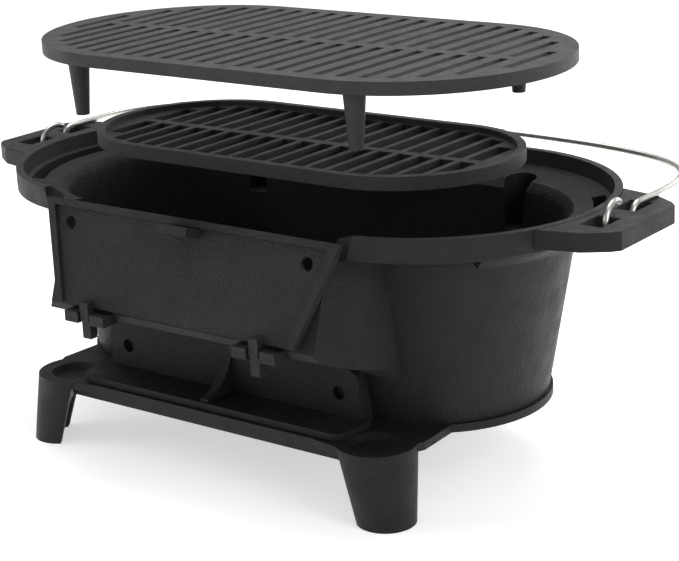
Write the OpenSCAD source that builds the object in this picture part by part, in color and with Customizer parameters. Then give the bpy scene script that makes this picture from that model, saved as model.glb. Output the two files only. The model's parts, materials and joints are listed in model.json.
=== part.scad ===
// Cast-iron charcoal camp grill, shown with both grates lifted out.
// Origin: centre of the footprint on the ground. X along the handles, Y to the back, Z up.

/* [Bowl] */
// Half distance between the centres of the two round ends of the bowl
end_c = 115; // [90:1:140]
// Outer radius of the round ends at the rim
rim_r = 135.6; // [115:0.2:150]
// Height of the rim above the ground
rim_z = 202; // [180:1:220]
// Height of the straight band under the rim
band_h = 17; // [10:1:24]
// Width of the flat top of the rim
rim_w = 5.6; // [4:0.2:10]
// Outer radius of the bowl just under the shoulder
well_r = 104; // [95:0.5:110]
// Outer radius of the bowl where it stands on the base
foot_r = 82.5; // [75:0.5:92]
// Thickness of the bowl wall
wall = 6; // [4:0.5:9]
// Height of the ledge that carries the cooking grate
ledge_z = 189; // [180:1:194]

/* [Coal door] */
// Height of the coal door measured up its slope
door_h = 74.7; // [60:0.5:85]
// Half width of the coal door along its top edge
door_top = 135.6; // [120:0.4:140]
// Half width of the coal door along its bottom edge
door_bot = 110; // [95:1:120]
// Thickness of the coal door
door_t = 6; // [4:0.5:9]
// Lean of the coal door from upright, in degrees
door_lean = 19.1; // [0:0.1:30]
// Angle the coal door is open
door_angle = 0; // [0:5:100]

/* [Draft door] */
// Half width of the draft door
draft_w = 118; // [100:1:120]
// Distance the draft door is pulled out
draft_out = 0; // [0:1:24]

/* [Grates] */
// Half length of the cooking grate
cook_l = 219; // [200:1:225]
// Half depth of the cooking grate
cook_w = 114; // [100:0.5:118]
// Height of the top of the cooking grate as shown
cook_z = 301; // [198:1:301]
// Columns of slots in the cooking grate
cook_n = 24; // [16:1:28]
// Half length of the fire grate
fire_l = 180; // [160:1:190]
// Half depth of the fire grate
fire_w = 85; // [70:0.5:86]
// Height of the top of the fire grate as shown
fire_z = 229; // [98:1:229]
// Columns of slots in the fire grate
fire_n = 20; // [14:1:24]

/* [Handles and bail] */
// Distance of the handle ends from the middle
handle_x = 289; // [275:1:300]
// Thickness of the handle plates
handle_t = 13.5; // [10:0.5:16]
// Diameter of the bail wire
wire_d = 4.6; // [3:0.2:6]

/* [Base] */
// Height of the top of the base plate
base_z = 53; // [45:1:60]
// Thickness of the base plate
base_t = 6; // [5:0.5:12]

/* [Hidden] */
$fn = 96;
eps = 0.01;
y0 = 0.85;
cook_r = cook_w;
fire_r = fire_w;
axis_z = rim_z - handle_t / 2;
wire_r = wire_d / 2;
web_w = 10;
ring_r = 14.8;
lift_z = handle_t / 2 + wire_r + 0.3;
slot_x0 = 256;
slot_x1 = 273;
pin_y = -160.5;
pin_z = 119;
pin_r = 3;
door_y = -161.5;
door_z = 127;
lug_x = 79;
bolt_x = 60;
bolt_r = 3;
leg_x = 143;
leg_y = -116;
leg_r = 29;
leg_lean = -16;
leg_cx = 126;
leg_cy = 102;
zm = base_z;
iron = [0.16, 0.16, 0.17];
iron_dark = [0.12, 0.12, 0.13];
steel = [0.72, 0.72, 0.74];

// Sub-part to draw

// A flat shape with straight sides and round ends
module track(c, r) {
  for (s = [-1, 1])
    translate([s * c, 0])
      circle(r, $fn = 180);
  square([2 * c, 2 * r], center = true);
}

// One closed section carried round the straight-sided, round-ended path
module ringed(c) {
  for (s = [0, 1])
    rotate([0, 0, 180 * s])
      translate([c, 0, 0])
        rotate([0, 0, -90])
          rotate_extrude(angle = 180, $fn = 180)
            children();
  for (s = [0, 1])
    rotate([0, 0, 180 * s])
      translate([-c, 0, 0])
        rotate([90, 0, 90])
          linear_extrude(2 * c)
            children();
}

module bowl_outer() {
  ringed(end_c)
    polygon([[0, zm], [foot_r, zm], [well_r, rim_z - 28], [well_r + 9, rim_z - 22],
      [rim_r - 4, rim_z - band_h - 1], [rim_r, rim_z - band_h + 1], [rim_r, rim_z], [0, rim_z]]);
}

module bowl_inner() {
  ringed(end_c)
    polygon([[0, zm + wall + 1], [foot_r - 3, zm + wall + 1], [foot_r, 88], [foot_r + 5, 89],
      [well_r - 8, ledge_z - 10], [well_r - 3, ledge_z - 3], [rim_r - rim_w - 6, ledge_z],
      [rim_r - rim_w - 2, ledge_z + 2], [rim_r - rim_w, rim_z + 1], [0, rim_z + 1]]);
}

// Moves from the slope of the coal door to the part frame; x across, y up the slope, z outward
module on_door() {
  translate([0, door_y, door_z])
    rotate([90 - door_lean, 0, 0])
      children();
}

module chute_outer() {
  difference() {
    translate([-143, 0, 0])
      rotate([90, 0, 90])
        linear_extrude(286)
          polygon([[door_y + 8 + 20.1, 185], [door_y + 6.6, 123], [door_y + 9, 117.5], [door_y + 15, 114.5],
            [-95.5, 98], [-95.5, 92], [-60, 92], [-60, 185]]);
    for (s = [-1, 1])
      on_door()
        translate([s * 143, 20, -8])
          rotate([0, 45, 0])
            cube([30, 160, 30], center = true);
  }
  translate([-116, -95.5, zm])
    cube([232, 40, 45]);
}

module chute_inner() {
  translate([-122, 0, 0])
    rotate([90, 0, 90])
      linear_extrude(244)
        polygon([[door_y + 33, 186], [door_y + 15, 128], [door_y + 17, 123], [-60, 98.5], [-60, 230], [door_y + 33, 230]]);
}

module door_cut(grow, deep, y_from, y_to) {
  k = (door_top - door_bot) / door_h;
  on_door()
    translate([0, 0, -deep])
      linear_extrude(deep + 25)
        polygon([[-door_bot - grow - k * y_from, y_from], [door_bot + grow + k * y_from, y_from],
          [door_bot + grow + k * y_to, y_to], [-door_bot - grow - k * y_to, y_to]]);
}

module fire_bowl() {
  color(iron)
    difference() {
      union() {
        bowl_outer();
        chute_outer();
        for (s = [-1, 1])
          translate([s * leg_cx, leg_cy, 0])
            rotate_extrude($fn = 96)
              polygon([[0, 112], [4, 112], [17, 141], [17, 186], [0, 186]]);
        for (s = [-1, 1])
          translate([s * (end_c + 1), 0, 0])
            rotate([0, 0, s > 0 ? -42 : 138])
              rotate_extrude(angle = 84, $fn = 180)
                polygon([[98, 186.5], [98, 176], [121, 176], [129, 183], [129, 186.5]]);
        for (s = [-1, 1])
          for (e = [-1, 1])
            translate([s * lug_x + e * 12.5 - 6.5, pin_y - 5.5, pin_z - 4])
              cube([13, 16, 8]);
      }
      bowl_inner();
      chute_inner();
      door_cut(-9, 26, 6, door_h + 30);
      door_cut(5, 7.5, 50, door_h + 30);
      for (s = [-1, 1])
        for (e = [-1, 1])
          translate([s * leg_cx, e * leg_cy, 148])
            cylinder(r = 12.5, h = 60);
      for (s = [-1, 1])
        translate([s * lug_x - 5.5, pin_y - 10, 98])
          cube([11, 29, 29.5]);
      translate([-85, -110, 64])
        cube([170, 50, 22]);
      for (s = [-1, 1])
        translate([s * bolt_x, 0, zm - 1])
          cylinder(r = bolt_r + 0.05, h = 20);
      for (s = [-1, 1])
        translate([s * (end_c + 1), 0, ledge_z - 9])
          rotate([0, 0, s > 0 ? -40 : 140])
            rotate_extrude(angle = 80, $fn = 180)
              translate([114, 0])
                square([10, 30]);
    }
  color(iron)
    for (s = [-1, 1])
      translate([s * lug_x - 6.5, pin_y, pin_z])
        rotate([0, 90, 0])
          cylinder(r = pin_r, h = 13);
}

module handle() {
  difference() {
    translate([0, 0, rim_z - handle_t])
      linear_extrude(handle_t)
        polygon([[225, -64], [240, -60], [267, -54], [284, -43], [handle_x, -37],
          [handle_x, 37], [284, 43], [267, 54], [240, 60], [225, 64]]);
    translate([0, 0, rim_z - 40])
      linear_extrude(60)
        track(end_c, rim_r + 0.001);
    for (e = [-1, 1])
      translate([slot_x0, e * 22.5 - 12.5, rim_z - 40])
        cube([slot_x1 - slot_x0, 25, 60]);
  }
}

module handle_right() {
  color(iron)
    handle();
}

module handle_left() {
  color(iron)
    mirror([1, 0, 0])
      handle();
}

module coal_door_plate() {
  k = (door_top - door_bot) / door_h;
  difference() {
    union() {
      on_door()
        translate([0, 0, -door_t])
          linear_extrude(door_t - 2)
            polygon([[-door_bot, 0], [door_bot, 0], [door_top, door_h], [-door_top, door_h]]);
      difference() {
        on_door()
          translate([0, 0, -door_t])
            linear_extrude(door_t)
              polygon([[-door_bot, 0], [door_bot, 0], [door_top, door_h], [-door_top, door_h]]);
        on_door()
          translate([0, 0, -2])
            linear_extrude(5)
              polygon([[-door_bot + 7, -3], [door_bot - 7, -3], [door_top - 9, door_h - 5], [-door_top + 9, door_h - 5]]);
      }
      on_door()
        translate([-14, door_h - 12, -3])
          cube([28, 6, 16]);
      for (s = [-1, 1])
        translate([s * lug_x - 4, pin_y - 4.5, pin_z])
          cube([8, 9, 12]);
      for (s = [-1, 1])
        translate([s * lug_x - 4, pin_y, pin_z])
          rotate([0, 90, 0])
            cylinder(r = 4.5, h = 8);
      for (s = [-1, 1])
        translate([s * lug_x - 4, pin_y - 3.5, 103.5])
          cube([8, 7, 15]);
    }
    for (s = [-1, 1])
      on_door()
        translate([s * 109.5, 58, -20])
          cylinder(r = 5, h = 40);
    for (s = [-1, 1])
      translate([s * lug_x - 10, pin_y, pin_z])
        rotate([0, 90, 0])
          cylinder(r = pin_r + 0.06, h = 20);
  }
}

module coal_door() {
  color(iron)
    translate([0, pin_y, pin_z])
      rotate([door_angle, 0, 0])
        translate([0, -pin_y, -pin_z])
          coal_door_plate();
}

module rounded_plate(w, h, r) {
  translate([-w, 0])
    square([2 * w, h - r]);
  translate([-w + r, 0])
    square([2 * (w - r), h]);
  for (s = [-1, 1])
    translate([s * (w - r), h - r])
      circle(r);
}

module draft_door() {
  color(iron)
    translate([0, -draft_out, 0])
      difference() {
        union() {
          translate([0, -95.8, zm + 0.3])
            rotate([90, 0, 0])
              linear_extrude(5)
                rounded_plate(draft_w, 42, 13);
          translate([0, -95.8, zm + 0.3])
            mirror([0, 1, 0])
              linear_extrude(5)
                rounded_plate(draft_w + 6, 36, 11);
          difference() {
            translate([-3.5, -130, zm + 4])
              cube([7, 32, 38]);
            translate([-10, -137, zm + 44])
              rotate([0, 90, 0])
                cylinder(r = 37, h = 20);
          }
          translate([-draft_w, -103.8, zm + 4])
            difference() {
              cube([2 * draft_w, 4, 4]);
              translate([-1, 0, 4])
                rotate([0, 90, 0])
                  cylinder(r = 4, h = 2 * draft_w + 2);
            }
        }
        for (s = [-1, 1])
          translate([s * 100, -90, zm + 22])
            rotate([90, 0, 0])
              cylinder(r = 5, h = 20);
      }
}

// Rows of slots either side of a middle spine, cut to the outline inside the rim
module slots(n, pitch, w, spine, c, r) {
  intersection() {
    for (i = [0 : n - 1])
      for (e = [-1, 1])
        translate([(i - (n - 1) / 2) * pitch - w / 2, e > 0 ? spine / 2 : -spine / 2 - r])
          square([w, r]);
    track(c, r);
  }
}

module grate_slots(n, pitch, w, spine, c, r, l, end_gap) {
  for (i = [0 : n - 1]) {
    x = (i - (n - 1) / 2) * pitch;
    edge = abs(x) + w / 2 - c;
    y = edge > 0 ? sqrt(max(0, r * r - edge * edge)) : r;
    if (y > end_gap)
      for (e = [-1, 1])
        translate([x - w / 2, e > 0 ? spine / 2 : -y])
          square([w, y - spine / 2]);
    if (y <= end_gap && y > 6)
      translate([x - w / 2, -y])
        square([w, 2 * y]);
  }
}

module cooking_grate() {
  color(iron_dark)
    translate([0, 0, cook_z]) {
      difference() {
        translate([0, 0, -9.4])
          linear_extrude(9.4)
            track(cook_l - cook_r, cook_r);
        translate([0, 0, -12])
          linear_extrude(8)
            track(cook_l - cook_r, cook_r - 6);
        translate([0, 0, -20])
          linear_extrude(30)
            grate_slots(cook_n, 17.3, 7.2, 9, cook_l - cook_r, cook_r - 12, cook_l, 44);
      }
      for (s = [-1, 1])
        for (e = [-1, 1])
          translate([s * leg_cx, e * leg_cy, -48])
            cylinder(r1 = 5, r2 = 8.5, h = 46);
    }
}

module fire_grate() {
  color(iron_dark)
    translate([0, 0, fire_z])
      difference() {
        translate([0, 0, -10])
          linear_extrude(10)
            track(fire_l - fire_r, fire_r);
        translate([0, 0, -4])
          linear_extrude(8)
            track(fire_l - fire_r, fire_r - 6.5);
        translate([0, 0, -20])
          linear_extrude(30)
            grate_slots(fire_n, 17.6, 12.8, 8, fire_l - fire_r, fire_r - 9, fire_l, 20);
      }
}

function hook(t) = let (a = 60 + 300 * t) [262.4 + 5.6 * t, ring_r * cos(a), axis_z + ring_r * sin(a)];
function bend(t) = let (a = 180 - 90 * t) [268, ring_r + lift_z + lift_z * cos(a), axis_z + lift_z * sin(a)];
function sweep_arm(t) = let (n = 2 / 3.4)
  [268 * pow(cos(t), n), 42 + 120 * pow(sin(t), n), axis_z + lift_z];
half_path = concat([for (i = [0 : 20]) hook(i / 20)], [for (i = [1 : 5]) bend(i / 5)], [[268, 36, axis_z + lift_z]],
  [for (t = [4, 9, 15, 22, 30, 38, 46, 54, 62, 70, 77, 83]) sweep_arm(t)]);
n_half = len(half_path);
path = concat(half_path, [[0, 162, axis_z + lift_z]],
  [for (i = [1 : n_half]) let (p = half_path[n_half - i]) [-p[0], p[1], p[2]]]);
n_path = len(path);
function unit(v) = v / norm(v);
function tangent(i) = unit(path[min(i + 1, n_path - 1)] - path[max(i - 1, 0)]);
// Carries a cross direction along the wire without twist
function carry(i, u) = i == n_path ? [] :
  let (t = tangent(i), v = unit(u - (u * t) * t)) concat([v], carry(i + 1, v));
side = carry(0, [1, 0, 0]);
m = 14;
wire_pts = [for (i = [0 : n_path - 1]) for (j = [0 : m - 1])
  let (v = side[i], w = cross(tangent(i), v))
    path[i] + wire_r * (cos(360 * j / m) * v + sin(360 * j / m) * w)];
wire_faces = concat([[for (j = [0 : m - 1]) m - 1 - j]],
  [for (i = [0 : n_path - 2]) for (j = [0 : m - 1])
    [i * m + j, i * m + (j + 1) % m, (i + 1) * m + (j + 1) % m, (i + 1) * m + j]],
  [[for (j = [0 : m - 1]) (n_path - 1) * m + j]]);

module bail_handle() {
  color(steel)
    polyhedron(points = wire_pts, faces = wire_faces, convexity = 6);
}

module leg() {
  // Half-round shell that leans out towards its foot
  difference() {
    translate([0, 0, base_z])
      rotate([0, leg_lean, 0])
        translate([0, 0, -70])
          cylinder(r1 = 19, r2 = leg_r, h = 70);
    translate([0, 0, base_z - 22])
      rotate([0, leg_lean, 0])
        translate([-4, 0, -70])
          cylinder(r1 = 12, r2 = leg_r - 8.5, h = 70);
    translate([0, 0, base_z - base_t + 7])
      rotate([0, leg_lean, 0])
        translate([-60, -40, -80])
          cube([58, 80, 80]);
    translate([-80, -80, -60])
      cube([200, 160, 60]);
    translate([-80, -80, base_z])
      cube([200, 160, 60]);
  }
}

module base() {
  color(iron)
    difference() {
      union() {
        translate([0, 0, base_z - base_t])
          linear_extrude(base_t) {
            track(end_c, foot_r + 2.5);
            translate([-129, -135])
              square([258, 100]);
            polygon([[100, -60], [100, -135], [150, -142], [172, -100], [170, -60]]);
            polygon([[-100, -60], [-100, -135], [-150, -142], [-172, -100], [-170, -60]]);
            translate([-34, 0])
              square([68, 100]);
          }
        translate([-129, -135, base_z - base_t - 5])
          cube([258, 7, base_t + 1]);
        for (s = [0, 1])
          mirror([s, 0, 0])
            translate([leg_x, leg_y, 0])
              rotate([0, 0, -35])
                leg();
        translate([0, 76, 0])
          rotate([0, 0, 90])
            leg();
      }
      for (s = [-1, 1])
        translate([s * (leg_x - 1), leg_y - 2, base_z - 3.5])
          cylinder(r1 = 13, r2 = 20, h = 4.5);
      for (s = [-1, 1])
        translate([s * bolt_x, 0, 0])
          cylinder(r = bolt_r + 0.05, h = base_z + 1);
    }
}

module base_bolts() {
  color(steel)
    for (s = [-1, 1])
      translate([s * bolt_x, 0, 0]) {
        translate([0, 0, base_z - base_t - 9])
          cylinder(r = bolt_r, h = base_t + wall + 11);
        translate([0, 0, base_z + wall + 1.02])
          cylinder(r = 6.5, h = 3);
      }
}

module base_washers() {
  color(steel)
    for (s = [-1, 1])
      translate([s * bolt_x, 0, base_z - base_t - 1.5])
        difference() {
          cylinder(r = 8, h = 1.5);
          translate([0, 0, -1])
            cylinder(r = bolt_r + 0.08, h = 4);
        }
}

module base_nuts() {
  color(steel)
    for (s = [-1, 1])
      translate([s * bolt_x, 0, base_z - base_t - 6.5])
        difference() {
          cylinder(r = 5.8, h = 5, $fn = 6);
          translate([0, 0, -1])
            cylinder(r = bolt_r + 0.04, h = 8, $fn = 96);
        }
}

translate([0, y0, 0]) base();
translate([0, y0, 0]) fire_bowl();
translate([0, y0, 0]) handle_left();
translate([0, y0, 0]) handle_right();
translate([0, y0, 0]) coal_door();
translate([0, y0, 0]) draft_door();
translate([0, y0, 0]) fire_grate();
translate([0, y0, 0]) cooking_grate();
translate([0, y0, 0]) bail_handle();
translate([0, y0, 0]) base_bolts();
translate([0, y0, 0]) base_washers();
translate([0, y0, 0]) base_nuts();
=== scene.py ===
"""Studio scene of the cast iron charcoal camp grill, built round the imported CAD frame."""

from __future__ import annotations

import json
import logging
import math
from dataclasses import dataclass
from enum import Enum

import bmesh
import bpy
from mathutils import Matrix, Vector


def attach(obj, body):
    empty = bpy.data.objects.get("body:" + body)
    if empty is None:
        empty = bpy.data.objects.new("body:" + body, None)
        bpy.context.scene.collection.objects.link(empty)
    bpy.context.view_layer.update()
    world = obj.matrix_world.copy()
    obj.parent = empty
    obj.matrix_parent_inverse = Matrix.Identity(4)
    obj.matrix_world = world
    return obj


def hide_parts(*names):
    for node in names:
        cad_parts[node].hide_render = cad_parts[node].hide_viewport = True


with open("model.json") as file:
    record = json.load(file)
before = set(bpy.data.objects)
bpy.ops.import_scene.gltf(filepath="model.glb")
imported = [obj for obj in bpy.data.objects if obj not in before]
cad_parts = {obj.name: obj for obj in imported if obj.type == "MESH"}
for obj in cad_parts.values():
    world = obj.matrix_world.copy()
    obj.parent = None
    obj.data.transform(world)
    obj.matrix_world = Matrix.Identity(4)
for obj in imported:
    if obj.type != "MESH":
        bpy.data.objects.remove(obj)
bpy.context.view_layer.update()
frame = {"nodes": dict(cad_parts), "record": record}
LOG = logging.getLogger("camp_grill")
MM = 0.001
PATH_DROP = 0.00085


class Slot(Enum):
    """The record's material slots."""

    IRON = "iron"
    GRATE = "iron_grate"
    WIRE = "steel_wire"
    ZINC = "zinc_steel"


class Nodes:
    """Short hand for wiring one material tree."""

    def __init__(self, name: str) -> None:
        """Starts an empty material tree.

        Args:
            name: name of the material.
        """
        self.mat = bpy.data.materials.new(name)
        self.mat.use_nodes = True
        self.tree = self.mat.node_tree
        self.tree.nodes.clear()

    def add(self, kind: str, **values: object) -> bpy.types.Node:
        """Adds a node and sets its properties or inputs by name.

        Args:
            kind: Blender's node type.
            **values: property names, or input names with spaces as underscores.

        Returns:
            The new node.
        """
        node = self.tree.nodes.new(kind)
        for key, value in values.items():
            if hasattr(node, key):
                setattr(node, key, value)
            else:
                node.inputs[key.replace("_", " ")].default_value = value
        return node

    def link(self, out: bpy.types.NodeSocket, into: bpy.types.NodeSocket) -> None:
        """Joins two sockets."""
        self.tree.links.new(out, into)

    def ramp(self, fac: bpy.types.NodeSocket, low: float, high: float, a: float, b: float) -> bpy.types.NodeSocket:
        """Maps a value from low..high to a..b.

        Args:
            fac: the value.
            low: lowest input.
            high: highest input.
            a: output at low.
            b: output at high.

        Returns:
            The mapped value.
        """
        node = self.tree.nodes.new("ShaderNodeMapRange")
        for index, value in ((1, low), (2, high), (3, a), (4, b)):
            node.inputs[index].default_value = value
        self.link(fac, node.inputs[0])
        return node.outputs[0]

    def noise(self, coords: bpy.types.NodeSocket, scale: float, detail: float = 3.0) -> bpy.types.NodeSocket:
        """Adds a noise texture.

        Args:
            coords: coordinates to read.
            scale: features per metre.
            detail: octaves.

        Returns:
            The noise value.
        """
        node = self.add("ShaderNodeTexNoise", Scale=scale, Detail=detail)
        self.link(coords, node.inputs["Vector"])
        return node.outputs["Fac"]


@dataclass(frozen=True)
class CastIron:
    """Seasoned sand-cast iron: a fine pebbled grain, dull bloom and rubbed high spots."""

    name: str
    dark: tuple[float, float, float] = (0.0055, 0.0055, 0.006)
    light: tuple[float, float, float] = (0.013, 0.013, 0.014)
    grain_mm: float = 1.9
    grain_depth_mm: float = 1.1
    rough_low: float = 0.40
    rough_high: float = 0.56
    gloss: float = 0.30

    def make(self) -> bpy.types.Material:
        """Builds the material.

        Returns:
            The finished material.
        """
        n = Nodes(self.name)
        coords = n.add("ShaderNodeTexCoord").outputs["Object"]
        pebble = n.noise(coords, 1000.0 / self.grain_mm, 2.0)
        sand = n.noise(coords, 2600.0 / self.grain_mm, 2.0)
        bloom = n.noise(coords, 14.0, 4.0)
        swirl = n.noise(coords, 60.0, 3.0)
        colour = n.add("ShaderNodeMix", data_type="RGBA")
        colour.inputs[6].default_value = (*self.dark, 1.0)
        colour.inputs[7].default_value = (*self.light, 1.0)
        mottle = n.add("ShaderNodeMath", operation="MULTIPLY")
        n.link(n.ramp(bloom, 0.3, 0.7, 0.35, 1.0), mottle.inputs[0])
        n.link(n.ramp(pebble, 0.35, 0.65, 0.55, 1.0), mottle.inputs[1])
        n.link(mottle.outputs[0], colour.inputs[0])
        shine = n.add("ShaderNodeMath", operation="MULTIPLY_ADD")
        n.link(n.ramp(swirl, 0.3, 0.7, self.rough_low, self.rough_high), shine.inputs[0])
        shine.inputs[1].default_value = 1.0
        n.link(n.ramp(sand, 0.3, 0.7, -0.05, 0.05), shine.inputs[2])
        height = n.add("ShaderNodeMath", operation="MULTIPLY_ADD")
        n.link(pebble, height.inputs[0])
        height.inputs[1].default_value = 0.75
        n.link(sand, height.inputs[2])
        bump = n.add("ShaderNodeBump", Strength=1.0, Distance=self.grain_depth_mm * MM)
        n.link(height.outputs[0], bump.inputs["Height"])
        surface = n.add("ShaderNodeBsdfPrincipled")
        surface.inputs["Specular IOR Level"].default_value = self.gloss
        n.link(colour.outputs[2], surface.inputs["Base Color"])
        n.link(shine.outputs[0], surface.inputs["Roughness"])
        n.link(bump.outputs["Normal"], surface.inputs["Normal"])
        out = n.add("ShaderNodeOutputMaterial")
        n.link(surface.outputs[0], out.inputs[0])
        return n.mat


@dataclass(frozen=True)
class BrightSteel:
    """Drawn or plated steel with fine draw lines and a little haze."""

    name: str
    tint: tuple[float, float, float] = (0.62, 0.61, 0.58)
    roughness: float = 0.28
    line_mm: float = 0.5

    def make(self) -> bpy.types.Material:
        """Builds the material.

        Returns:
            The finished material.
        """
        n = Nodes(self.name)
        coords = n.add("ShaderNodeTexCoord").outputs["Object"]
        lines = n.noise(coords, 1000.0 / self.line_mm, 4.0)
        haze = n.noise(coords, 45.0, 3.0)
        colour = n.add("ShaderNodeMix", data_type="RGBA")
        colour.inputs[6].default_value = (*(0.72 * c for c in self.tint), 1.0)
        colour.inputs[7].default_value = (*self.tint, 1.0)
        n.link(n.ramp(haze, 0.3, 0.65, 0.0, 1.0), colour.inputs[0])
        bump = n.add("ShaderNodeBump", Strength=0.35, Distance=0.00004)
        n.link(lines, bump.inputs["Height"])
        surface = n.add("ShaderNodeBsdfPrincipled", Metallic=1.0)
        n.link(colour.outputs[2], surface.inputs["Base Color"])
        n.link(n.ramp(lines, 0.3, 0.7, self.roughness - 0.06, self.roughness + 0.08), surface.inputs["Roughness"])
        n.link(bump.outputs["Normal"], surface.inputs["Normal"])
        out = n.add("ShaderNodeOutputMaterial")
        n.link(surface.outputs[0], out.inputs[0])
        return n.mat


@dataclass(frozen=True)
class Castings:
    """The iron pieces: each keeps its CAD shape and gets the soft edges that a sand mould leaves."""

    edge_mm: float = 0.9
    smooth_deg: float = 32.0
    flat_deg: float = 0.4

    def body_of(self, node: str) -> str:
        """Finds the body that holds a node.

        Args:
            node: name of the CAD node.

        Returns:
            The body's name.
        """
        groups = frame["record"]["behaviour"]["bodies"]
        return next(body for body, nodes in groups.items() if node in nodes)

    def cast(self, node: str, name: str, finish: bpy.types.Material, edge_mm: float | None = None) -> bpy.types.Object:
        """Makes the visible casting that stands for a CAD node.

        Args:
            node: name of the CAD node.
            name: name of the new piece.
            finish: its material.
            edge_mm: radius of its edges, or the usual one.

        Returns:
            The new piece.
        """
        mesh = frame["nodes"][node].data.copy()
        mesh.name = name
        shell = bmesh.new()
        shell.from_mesh(mesh)
        bmesh.ops.remove_doubles(shell, verts=shell.verts, dist=2e-6)
        bmesh.ops.dissolve_degenerate(shell, edges=shell.edges, dist=2e-6)
        bmesh.ops.dissolve_limit(shell, angle_limit=math.radians(self.flat_deg), verts=shell.verts, edges=shell.edges)
        shell.to_mesh(mesh)
        shell.free()
        mesh.materials.clear()
        mesh.materials.append(finish)
        mesh.polygons.foreach_set("material_index", [0] * len(mesh.polygons))
        mesh.shade_smooth()
        mesh.set_sharp_from_angle(angle=math.radians(self.smooth_deg))
        piece = bpy.data.objects.new(name, mesh)
        bpy.context.collection.objects.link(piece)
        width = self.edge_mm if edge_mm is None else edge_mm
        if width > 0:
            bevel = piece.modifiers.new("soft_edges", "BEVEL")
            bevel.width = width * MM
            bevel.segments = 2
            bevel.limit_method = "ANGLE"
            bevel.angle_limit = math.radians(self.smooth_deg)
            bevel.use_clamp_overlap = True
            even = piece.modifiers.new("even_shading", "WEIGHTED_NORMAL")
            even.keep_sharp = True
            even.weight = 100
        settled = bpy.data.meshes.new_from_object(piece.evaluated_get(bpy.context.evaluated_depsgraph_get()))
        piece.modifiers.clear()
        piece.data = settled
        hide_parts(node)
        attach(piece, self.body_of(node))
        LOG.info("cast %s, %d faces", name, len(settled.polygons))
        return piece


@dataclass(frozen=True)
class Bail:
    """The wire bail: two hooks round the webs of the handles and one long bow."""

    wire_mm: float = 4.6
    ring_mm: float = 14.8
    axis_z_mm: float = 195.25
    lift_mm: float = 9.35
    half_span_mm: float = 268.0
    bow_mm: float = 120.0
    bow_start_mm: float = 42.0
    power: float = 3.4

    def half(self) -> list[Vector]:
        """The right half of the wire's centre line.

        Returns:
            Points in metres from the tip of the hook to the middle of the bow.
        """
        points = []
        for i in range(31):
            turn = math.radians(60 + 300 * i / 30)
            points.append((262.4 + 5.6 * i / 30, self.ring_mm * math.cos(turn), self.axis_z_mm + self.ring_mm * math.sin(turn)))
        for i in range(1, 9):
            turn = math.radians(180 - 90 * i / 8)
            points.append((self.half_span_mm, self.ring_mm + self.lift_mm * (1 + math.cos(turn)), self.axis_z_mm + self.lift_mm * math.sin(turn)))
        level = self.axis_z_mm + self.lift_mm
        points.append((self.half_span_mm, 33.0, level))
        for i in range(1, 45):
            turn = math.radians(90 * i / 45)
            points.append((self.half_span_mm * math.cos(turn) ** (2 / self.power), self.bow_start_mm + self.bow_mm * math.sin(turn) ** (2 / self.power), level))
        return [Vector((x, y, z)) * MM + Vector((0, PATH_DROP, 0)) for x, y, z in points]

    def tree(self, finish: bpy.types.Material) -> bpy.types.NodeTree:
        """Builds the Geometry Nodes tree that draws the wire along its centre line.

        Args:
            finish: material of the wire.

        Returns:
            The tree.
        """
        tree = bpy.data.node_groups.new("drawn_wire", "GeometryNodeTree")
        face = tree.interface
        face.new_socket("Geometry", in_out="INPUT", socket_type="NodeSocketGeometry")
        radius = face.new_socket("Wire Radius", in_out="INPUT", socket_type="NodeSocketFloat")
        radius.default_value = self.wire_mm / 2 * MM
        face.new_socket("Geometry", in_out="OUTPUT", socket_type="NodeSocketGeometry")
        new = tree.nodes.new
        start, end = new("NodeGroupInput"), new("NodeGroupOutput")
        line, ring = new("GeometryNodeMeshToCurve"), new("GeometryNodeCurvePrimitiveCircle")
        ring.inputs["Resolution"].default_value = 20
        tube, real, paint = new("GeometryNodeCurveToMesh"), new("GeometryNodeRealizeInstances"), new("GeometryNodeSetMaterial")
        tube.inputs["Fill Caps"].default_value = True
        paint.inputs["Material"].default_value = finish
        join = tree.links.new
        join(start.outputs["Geometry"], line.inputs[0])
        join(start.outputs["Wire Radius"], ring.inputs["Radius"])
        join(line.outputs[0], tube.inputs["Curve"])
        join(ring.outputs["Curve"], tube.inputs["Profile Curve"])
        join(tube.outputs[0], real.inputs[0])
        join(real.outputs[0], paint.inputs[0])
        join(paint.outputs[0], end.inputs[0])
        return tree

    def build(self, finish: bpy.types.Material) -> bpy.types.Object:
        """Makes the bail.

        Args:
            finish: material of the wire.

        Returns:
            The bail.
        """
        half = self.half()
        path = half + [Vector((-p.x, p.y, p.z)) for p in reversed(half)]
        mesh = bpy.data.meshes.new("bail_line")
        mesh.from_pydata(path, [(i, i + 1) for i in range(len(path) - 1)], [])
        piece = bpy.data.objects.new("bail_wire", mesh)
        bpy.context.collection.objects.link(piece)
        modifier = piece.modifiers.new("drawn_wire", "NODES")
        modifier.node_group = self.tree(finish)
        key = next(s.identifier for s in modifier.node_group.interface.items_tree if s.name == "Wire Radius")
        modifier[key] = self.wire_mm / 2 * MM
        drawn = bpy.data.meshes.new_from_object(piece.evaluated_get(bpy.context.evaluated_depsgraph_get()))
        piece.modifiers.clear()
        piece.data = drawn
        drawn.shade_smooth()
        drawn.set_sharp_from_angle(angle=math.radians(50))
        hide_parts("bail_handle")
        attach(piece, "bail_body")
        LOG.info("bent the bail, %d faces", len(drawn.polygons))
        return piece


@dataclass(frozen=True)
class Fasteners:
    """Bolts, washers and nuts between the bowl and the base; their CAD shape is already right."""

    nodes: tuple[str, ...] = ("base_bolts", "base_washers", "base_nuts")

    def dress(self, finish: bpy.types.Material) -> None:
        """Gives each fastener its finish.

        Args:
            finish: material of the plated steel.
        """
        for name in self.nodes:
            for place in frame["nodes"][name].material_slots:
                place.material = finish
            LOG.info("plated %s", name)


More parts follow.
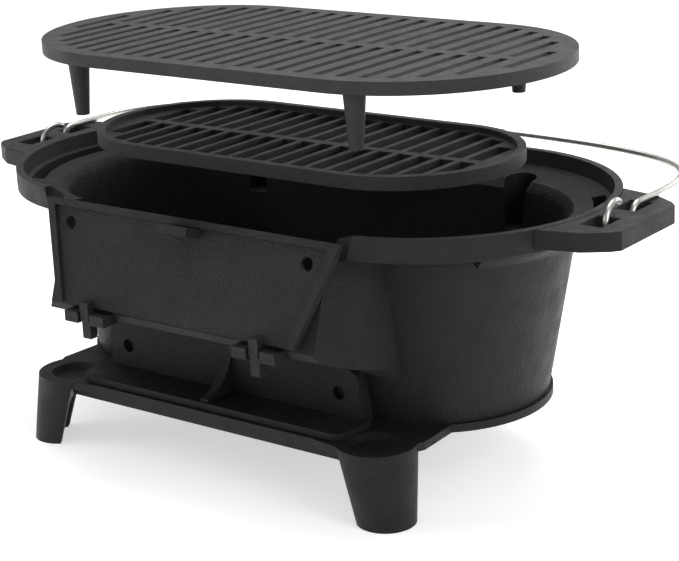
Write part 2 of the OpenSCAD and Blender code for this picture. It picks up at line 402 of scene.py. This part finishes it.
@dataclass(frozen=True)
class Studio:
    """Camera, lights, floor and world."""

    azimuth_deg: float = 37.69
    elevation_deg: float = 17.31
    roll_deg: float = -2.66
    distance: float = 1.42324
    target: tuple[float, float, float] = (0.02779, 0.00085, 0.11873)
    lens_mm: float = 99.83
    floor_z: float = -0.0002

    def camera(self) -> None:
        """Places the camera."""
        az, el, roll = (math.radians(a) for a in (self.azimuth_deg, self.elevation_deg, self.roll_deg))
        back = Vector((math.sin(az) * math.cos(el), -math.cos(az) * math.cos(el), math.sin(el)))
        right = (-back).cross(Vector((0, 0, 1))).normalized()
        up = right.cross(-back)
        across = right * math.cos(roll) + up * math.sin(roll)
        above = up * math.cos(roll) - right * math.sin(roll)
        place = Matrix((across, above, back)).transposed().to_4x4()
        place.translation = Vector(self.target) + back * self.distance
        data = bpy.data.cameras.new("view_camera")
        data.lens, data.sensor_width, data.sensor_fit = self.lens_mm, 36.0, "HORIZONTAL"
        data.clip_start, data.clip_end = 0.05, 50.0
        camera = bpy.data.objects.new("view_camera", data)
        camera.matrix_world = place
        bpy.context.collection.objects.link(camera)
        bpy.context.scene.camera = camera

    def lamp(self, name: str, place: tuple[float, float, float], size: tuple[float, float], watts: float, aim: tuple[float, float, float] = (0.0, 0.0, 0.12)) -> None:
        """Adds a soft rectangular lamp.

        Args:
            name: its name.
            place: its position.
            size: its width and height.
            watts: its power.
            aim: the point it faces.
        """
        data = bpy.data.lights.new(name, "AREA")
        data.shape, data.size, data.size_y, data.energy = "RECTANGLE", size[0], size[1], watts
        lamp = bpy.data.objects.new(name, data)
        lamp.location = place
        lamp.rotation_euler = (Vector(aim) - Vector(place)).to_track_quat("-Z", "Y").to_euler()
        bpy.context.collection.objects.link(lamp)

    def floor(self) -> None:
        """Lays the floor, which shows white and keeps the soft shadow."""
        n = Nodes("studio_floor")
        rays = n.add("ShaderNodeLightPath")
        seen = n.add("ShaderNodeMath", operation="MAXIMUM")
        n.link(rays.outputs["Is Camera Ray"], seen.inputs[0])
        n.link(rays.outputs["Is Glossy Ray"], seen.inputs[1])
        level = n.add("ShaderNodeMath", operation="MULTIPLY")
        n.link(seen.outputs[0], level.inputs[0])
        level.inputs[1].default_value = 0.55
        paper = n.add("ShaderNodeBsdfDiffuse", Color=(0.80, 0.80, 0.80, 1.0))
        glow = n.add("ShaderNodeEmission", Color=(1.0, 1.0, 1.0, 1.0))
        n.link(level.outputs[0], glow.inputs["Strength"])
        both = n.add("ShaderNodeAddShader")
        n.link(paper.outputs[0], both.inputs[0])
        n.link(glow.outputs[0], both.inputs[1])
        out = n.add("ShaderNodeOutputMaterial")
        n.link(both.outputs[0], out.inputs[0])
        mesh = bpy.data.meshes.new("studio_floor")
        half = 12.0
        mesh.from_pydata([(-half, -half, self.floor_z), (half, -half, self.floor_z), (half, half, self.floor_z), (-half, half, self.floor_z)], [], [(0, 1, 2, 3)])
        mesh.materials.append(n.mat)
        floor = bpy.data.objects.new("studio_floor", mesh)
        bpy.context.collection.objects.link(floor)

    def world(self) -> None:
        """Makes the pale surroundings."""
        world = bpy.data.worlds.new("studio_world")
        bpy.context.scene.world = world
        world.use_nodes = True
        tree = world.node_tree
        tree.nodes.clear()
        rays = tree.nodes.new("ShaderNodeLightPath")
        white, soft = tree.nodes.new("ShaderNodeBackground"), tree.nodes.new("ShaderNodeBackground")
        white.inputs["Color"].default_value = (1.0, 1.0, 1.0, 1.0)
        soft.inputs["Color"].default_value = (1.0, 1.0, 1.0, 1.0)
        soft.inputs["Strength"].default_value = 0.45
        pick, out = tree.nodes.new("ShaderNodeMixShader"), tree.nodes.new("ShaderNodeOutputWorld")
        tree.links.new(rays.outputs["Is Camera Ray"], pick.inputs[0])
        tree.links.new(soft.outputs[0], pick.inputs[1])
        tree.links.new(white.outputs[0], pick.inputs[2])
        tree.links.new(pick.outputs[0], out.inputs[0])

    def build(self) -> None:
        """Sets up the whole studio."""
        self.camera()
        self.floor()
        self.world()
        self.lamp("top_softbox", (-0.2, 0.5, 1.7), (1.6, 1.2), 26.0)
        self.lamp("right_softbox", (1.7, -0.3, 0.9), (0.7, 1.2), 11.0)
        self.lamp("left_softbox", (-1.6, -1.2, 0.8), (0.8, 1.2), 7.0)
        self.lamp("back_softbox", (0.3, 1.9, 0.7), (1.8, 0.7), 9.0)
        scene = bpy.context.scene
        scene.view_settings.view_transform = "Standard"
        LOG.info("studio ready")


def main() -> None:
    """Builds every sub-assembly in order."""
    logging.basicConfig(level=logging.INFO)
    iron = CastIron("seasoned_iron").make()
    door_iron = CastIron("door_iron", grain_mm=2.6, grain_depth_mm=1.6, light=(0.016, 0.016, 0.017)).make()
    grate_iron = CastIron("grate_iron", dark=(0.010, 0.010, 0.0105), light=(0.022, 0.022, 0.023), grain_mm=1.7, gloss=0.5).make()
    wire = BrightSteel("drawn_wire_steel").make()
    zinc = BrightSteel("plated_steel", tint=(0.50, 0.50, 0.50), roughness=0.36).make()
    shop = Castings()
    shop.cast("base", "base_casting", iron)
    shop.cast("fire_bowl", "bowl_casting", iron)
    shop.cast("handle_left", "left_handle_casting", iron)
    shop.cast("handle_right", "right_handle_casting", iron)
    shop.cast("coal_door", "coal_door_casting", door_iron, 0.6)
    shop.cast("draft_door", "draft_door_casting", iron)
    shop.cast("fire_grate", "fire_grate_casting", grate_iron, 0.6)
    shop.cast("cooking_grate", "cooking_grate_casting", grate_iron, 0.8)
    Bail().build(wire)
    Fasteners().dress(zinc)
    Studio().build()


if __name__ == "__main__":
    main()
